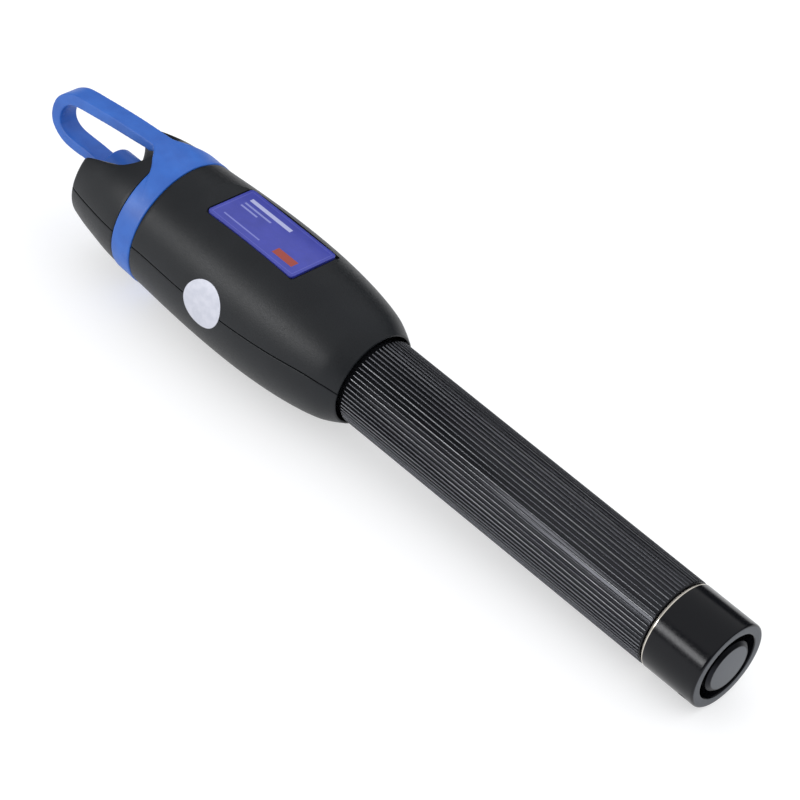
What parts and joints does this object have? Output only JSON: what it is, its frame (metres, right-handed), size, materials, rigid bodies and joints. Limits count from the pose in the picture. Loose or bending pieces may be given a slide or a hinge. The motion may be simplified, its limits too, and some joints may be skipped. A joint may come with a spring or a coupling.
{
  "type": "visual fault locator",
  "caption": "Pen-type red light source for tracing fibre breaks: soft-capped ferrule port in a barrel head, fluted battery tube, screw tail cap with push button",
  "frame": {"origin": "on the pen's axis at the mouth of the ceramic sleeve, where a ferrule enters", "axes": "+X along the axis toward the tail cap, +Y away from the side with the round seal, +Z out through the middle of the label"},
  "size_m": [0.2056, 0.0339, 0.0333],
  "materials": {
    "head_plastic": "fine spark-eroded texture",
    "soft_blue": "satin",
    "label_face": "printed film",
    "seal_foil": "silvered film",
    "screw_steel": "zinc plated",
    "plated_brass": "nickel plated",
    "zirconia": "ground",
    "bare_brass": "turned",
    "lens_glass": "polished",
    "black_nylon": "moulded",
    "natural_nylon": "moulded",
    "gilt_steel": "gold plated",
    "board_laminate": "solder mask",
    "ferrite": "sintered",
    "capacitor_ceramic": "fired",
    "red_insulation": "satin",
    "black_insulation": "satin",
    "anodised_tube": "black anodised, fluted",
    "anodised_cap": "black anodised, polished",
    "button_metal": "satin",
    "ring_rubber": "satin",
    "cell_wrap": "printed sleeve"
  },
  "bodies": {
    "pen": {"upper_shell": "head_plastic", "lower_shell": "head_plastic", "shell_screws": "screw_steel", "label_plate": "label_face", "seal_sticker": "seal_foil", "collar_ring": "soft_blue", "port_housing": "plated_brass", "ferrule_sleeve": "zirconia", "laser_barrel": "bare_brass", "focus_lens": "lens_glass", "lens_retainer": "black_nylon", "laser_diode": "gilt_steel", "driver_board": "board_laminate", "control_chip": "black_nylon", "power_inductor": "ferrite", "board_capacitors": "capacitor_ceramic", "contact_carrier": "natural_nylon", "front_contact": "gilt_steel", "positive_lead": "red_insulation", "ground_lead": "black_insulation", "battery_tube": "anodised_tube", "front_cell": "cell_wrap", "rear_cell": "cell_wrap"},
    "capped_loop": {"strap_loop": "soft_blue", "dust_cap": "soft_blue"},
    "spring_seat": {"tail_spring": "screw_steel"},
    "tail": {"tail_cap": "anodised_cap", "cap_o_ring": "ring_rubber", "switch_body": "black_nylon", "switch_carrier": "black_nylon", "switch_board": "board_laminate", "switch_retainer": "button_metal"},
    "button": {"power_button": "button_metal", "switch_plunger": "natural_nylon"}
  },
  "joints": [
    {"name": "dust_cap_swing", "type": "hinge", "parent": "pen", "child": "capped_loop", "pos_m": [0.0034, 0, 0.01549], "axis": [0, 1, 0], "range_deg": [0, 85], "stiffness_Nm_per_rad": 0.015, "springref_deg": -5.73},
    {"name": "tail_cap_travel", "type": "slide", "parent": "pen", "child": "spring_seat", "axis": [1, 0, 0], "range_m": [0, 0.006]},
    {"name": "tail_cap_turn", "type": "hinge", "parent": "spring_seat", "child": "tail", "pos_m": [0.1774, 0, 0], "axis": [1, 0, 0], "range_deg": [0, 2160]},
    {"name": "power_button_press", "type": "slide", "parent": "tail", "child": "button", "axis": [-1, 0, 0], "range_m": [0, 0.0015], "stiffness_N_per_m": 1500, "springref_m": -0.001}
  ],
  "couplings": [
    {"joint": "tail_cap_travel", "follows": "tail_cap_turn", "m_per_rad": 0.00015915}
  ]
}
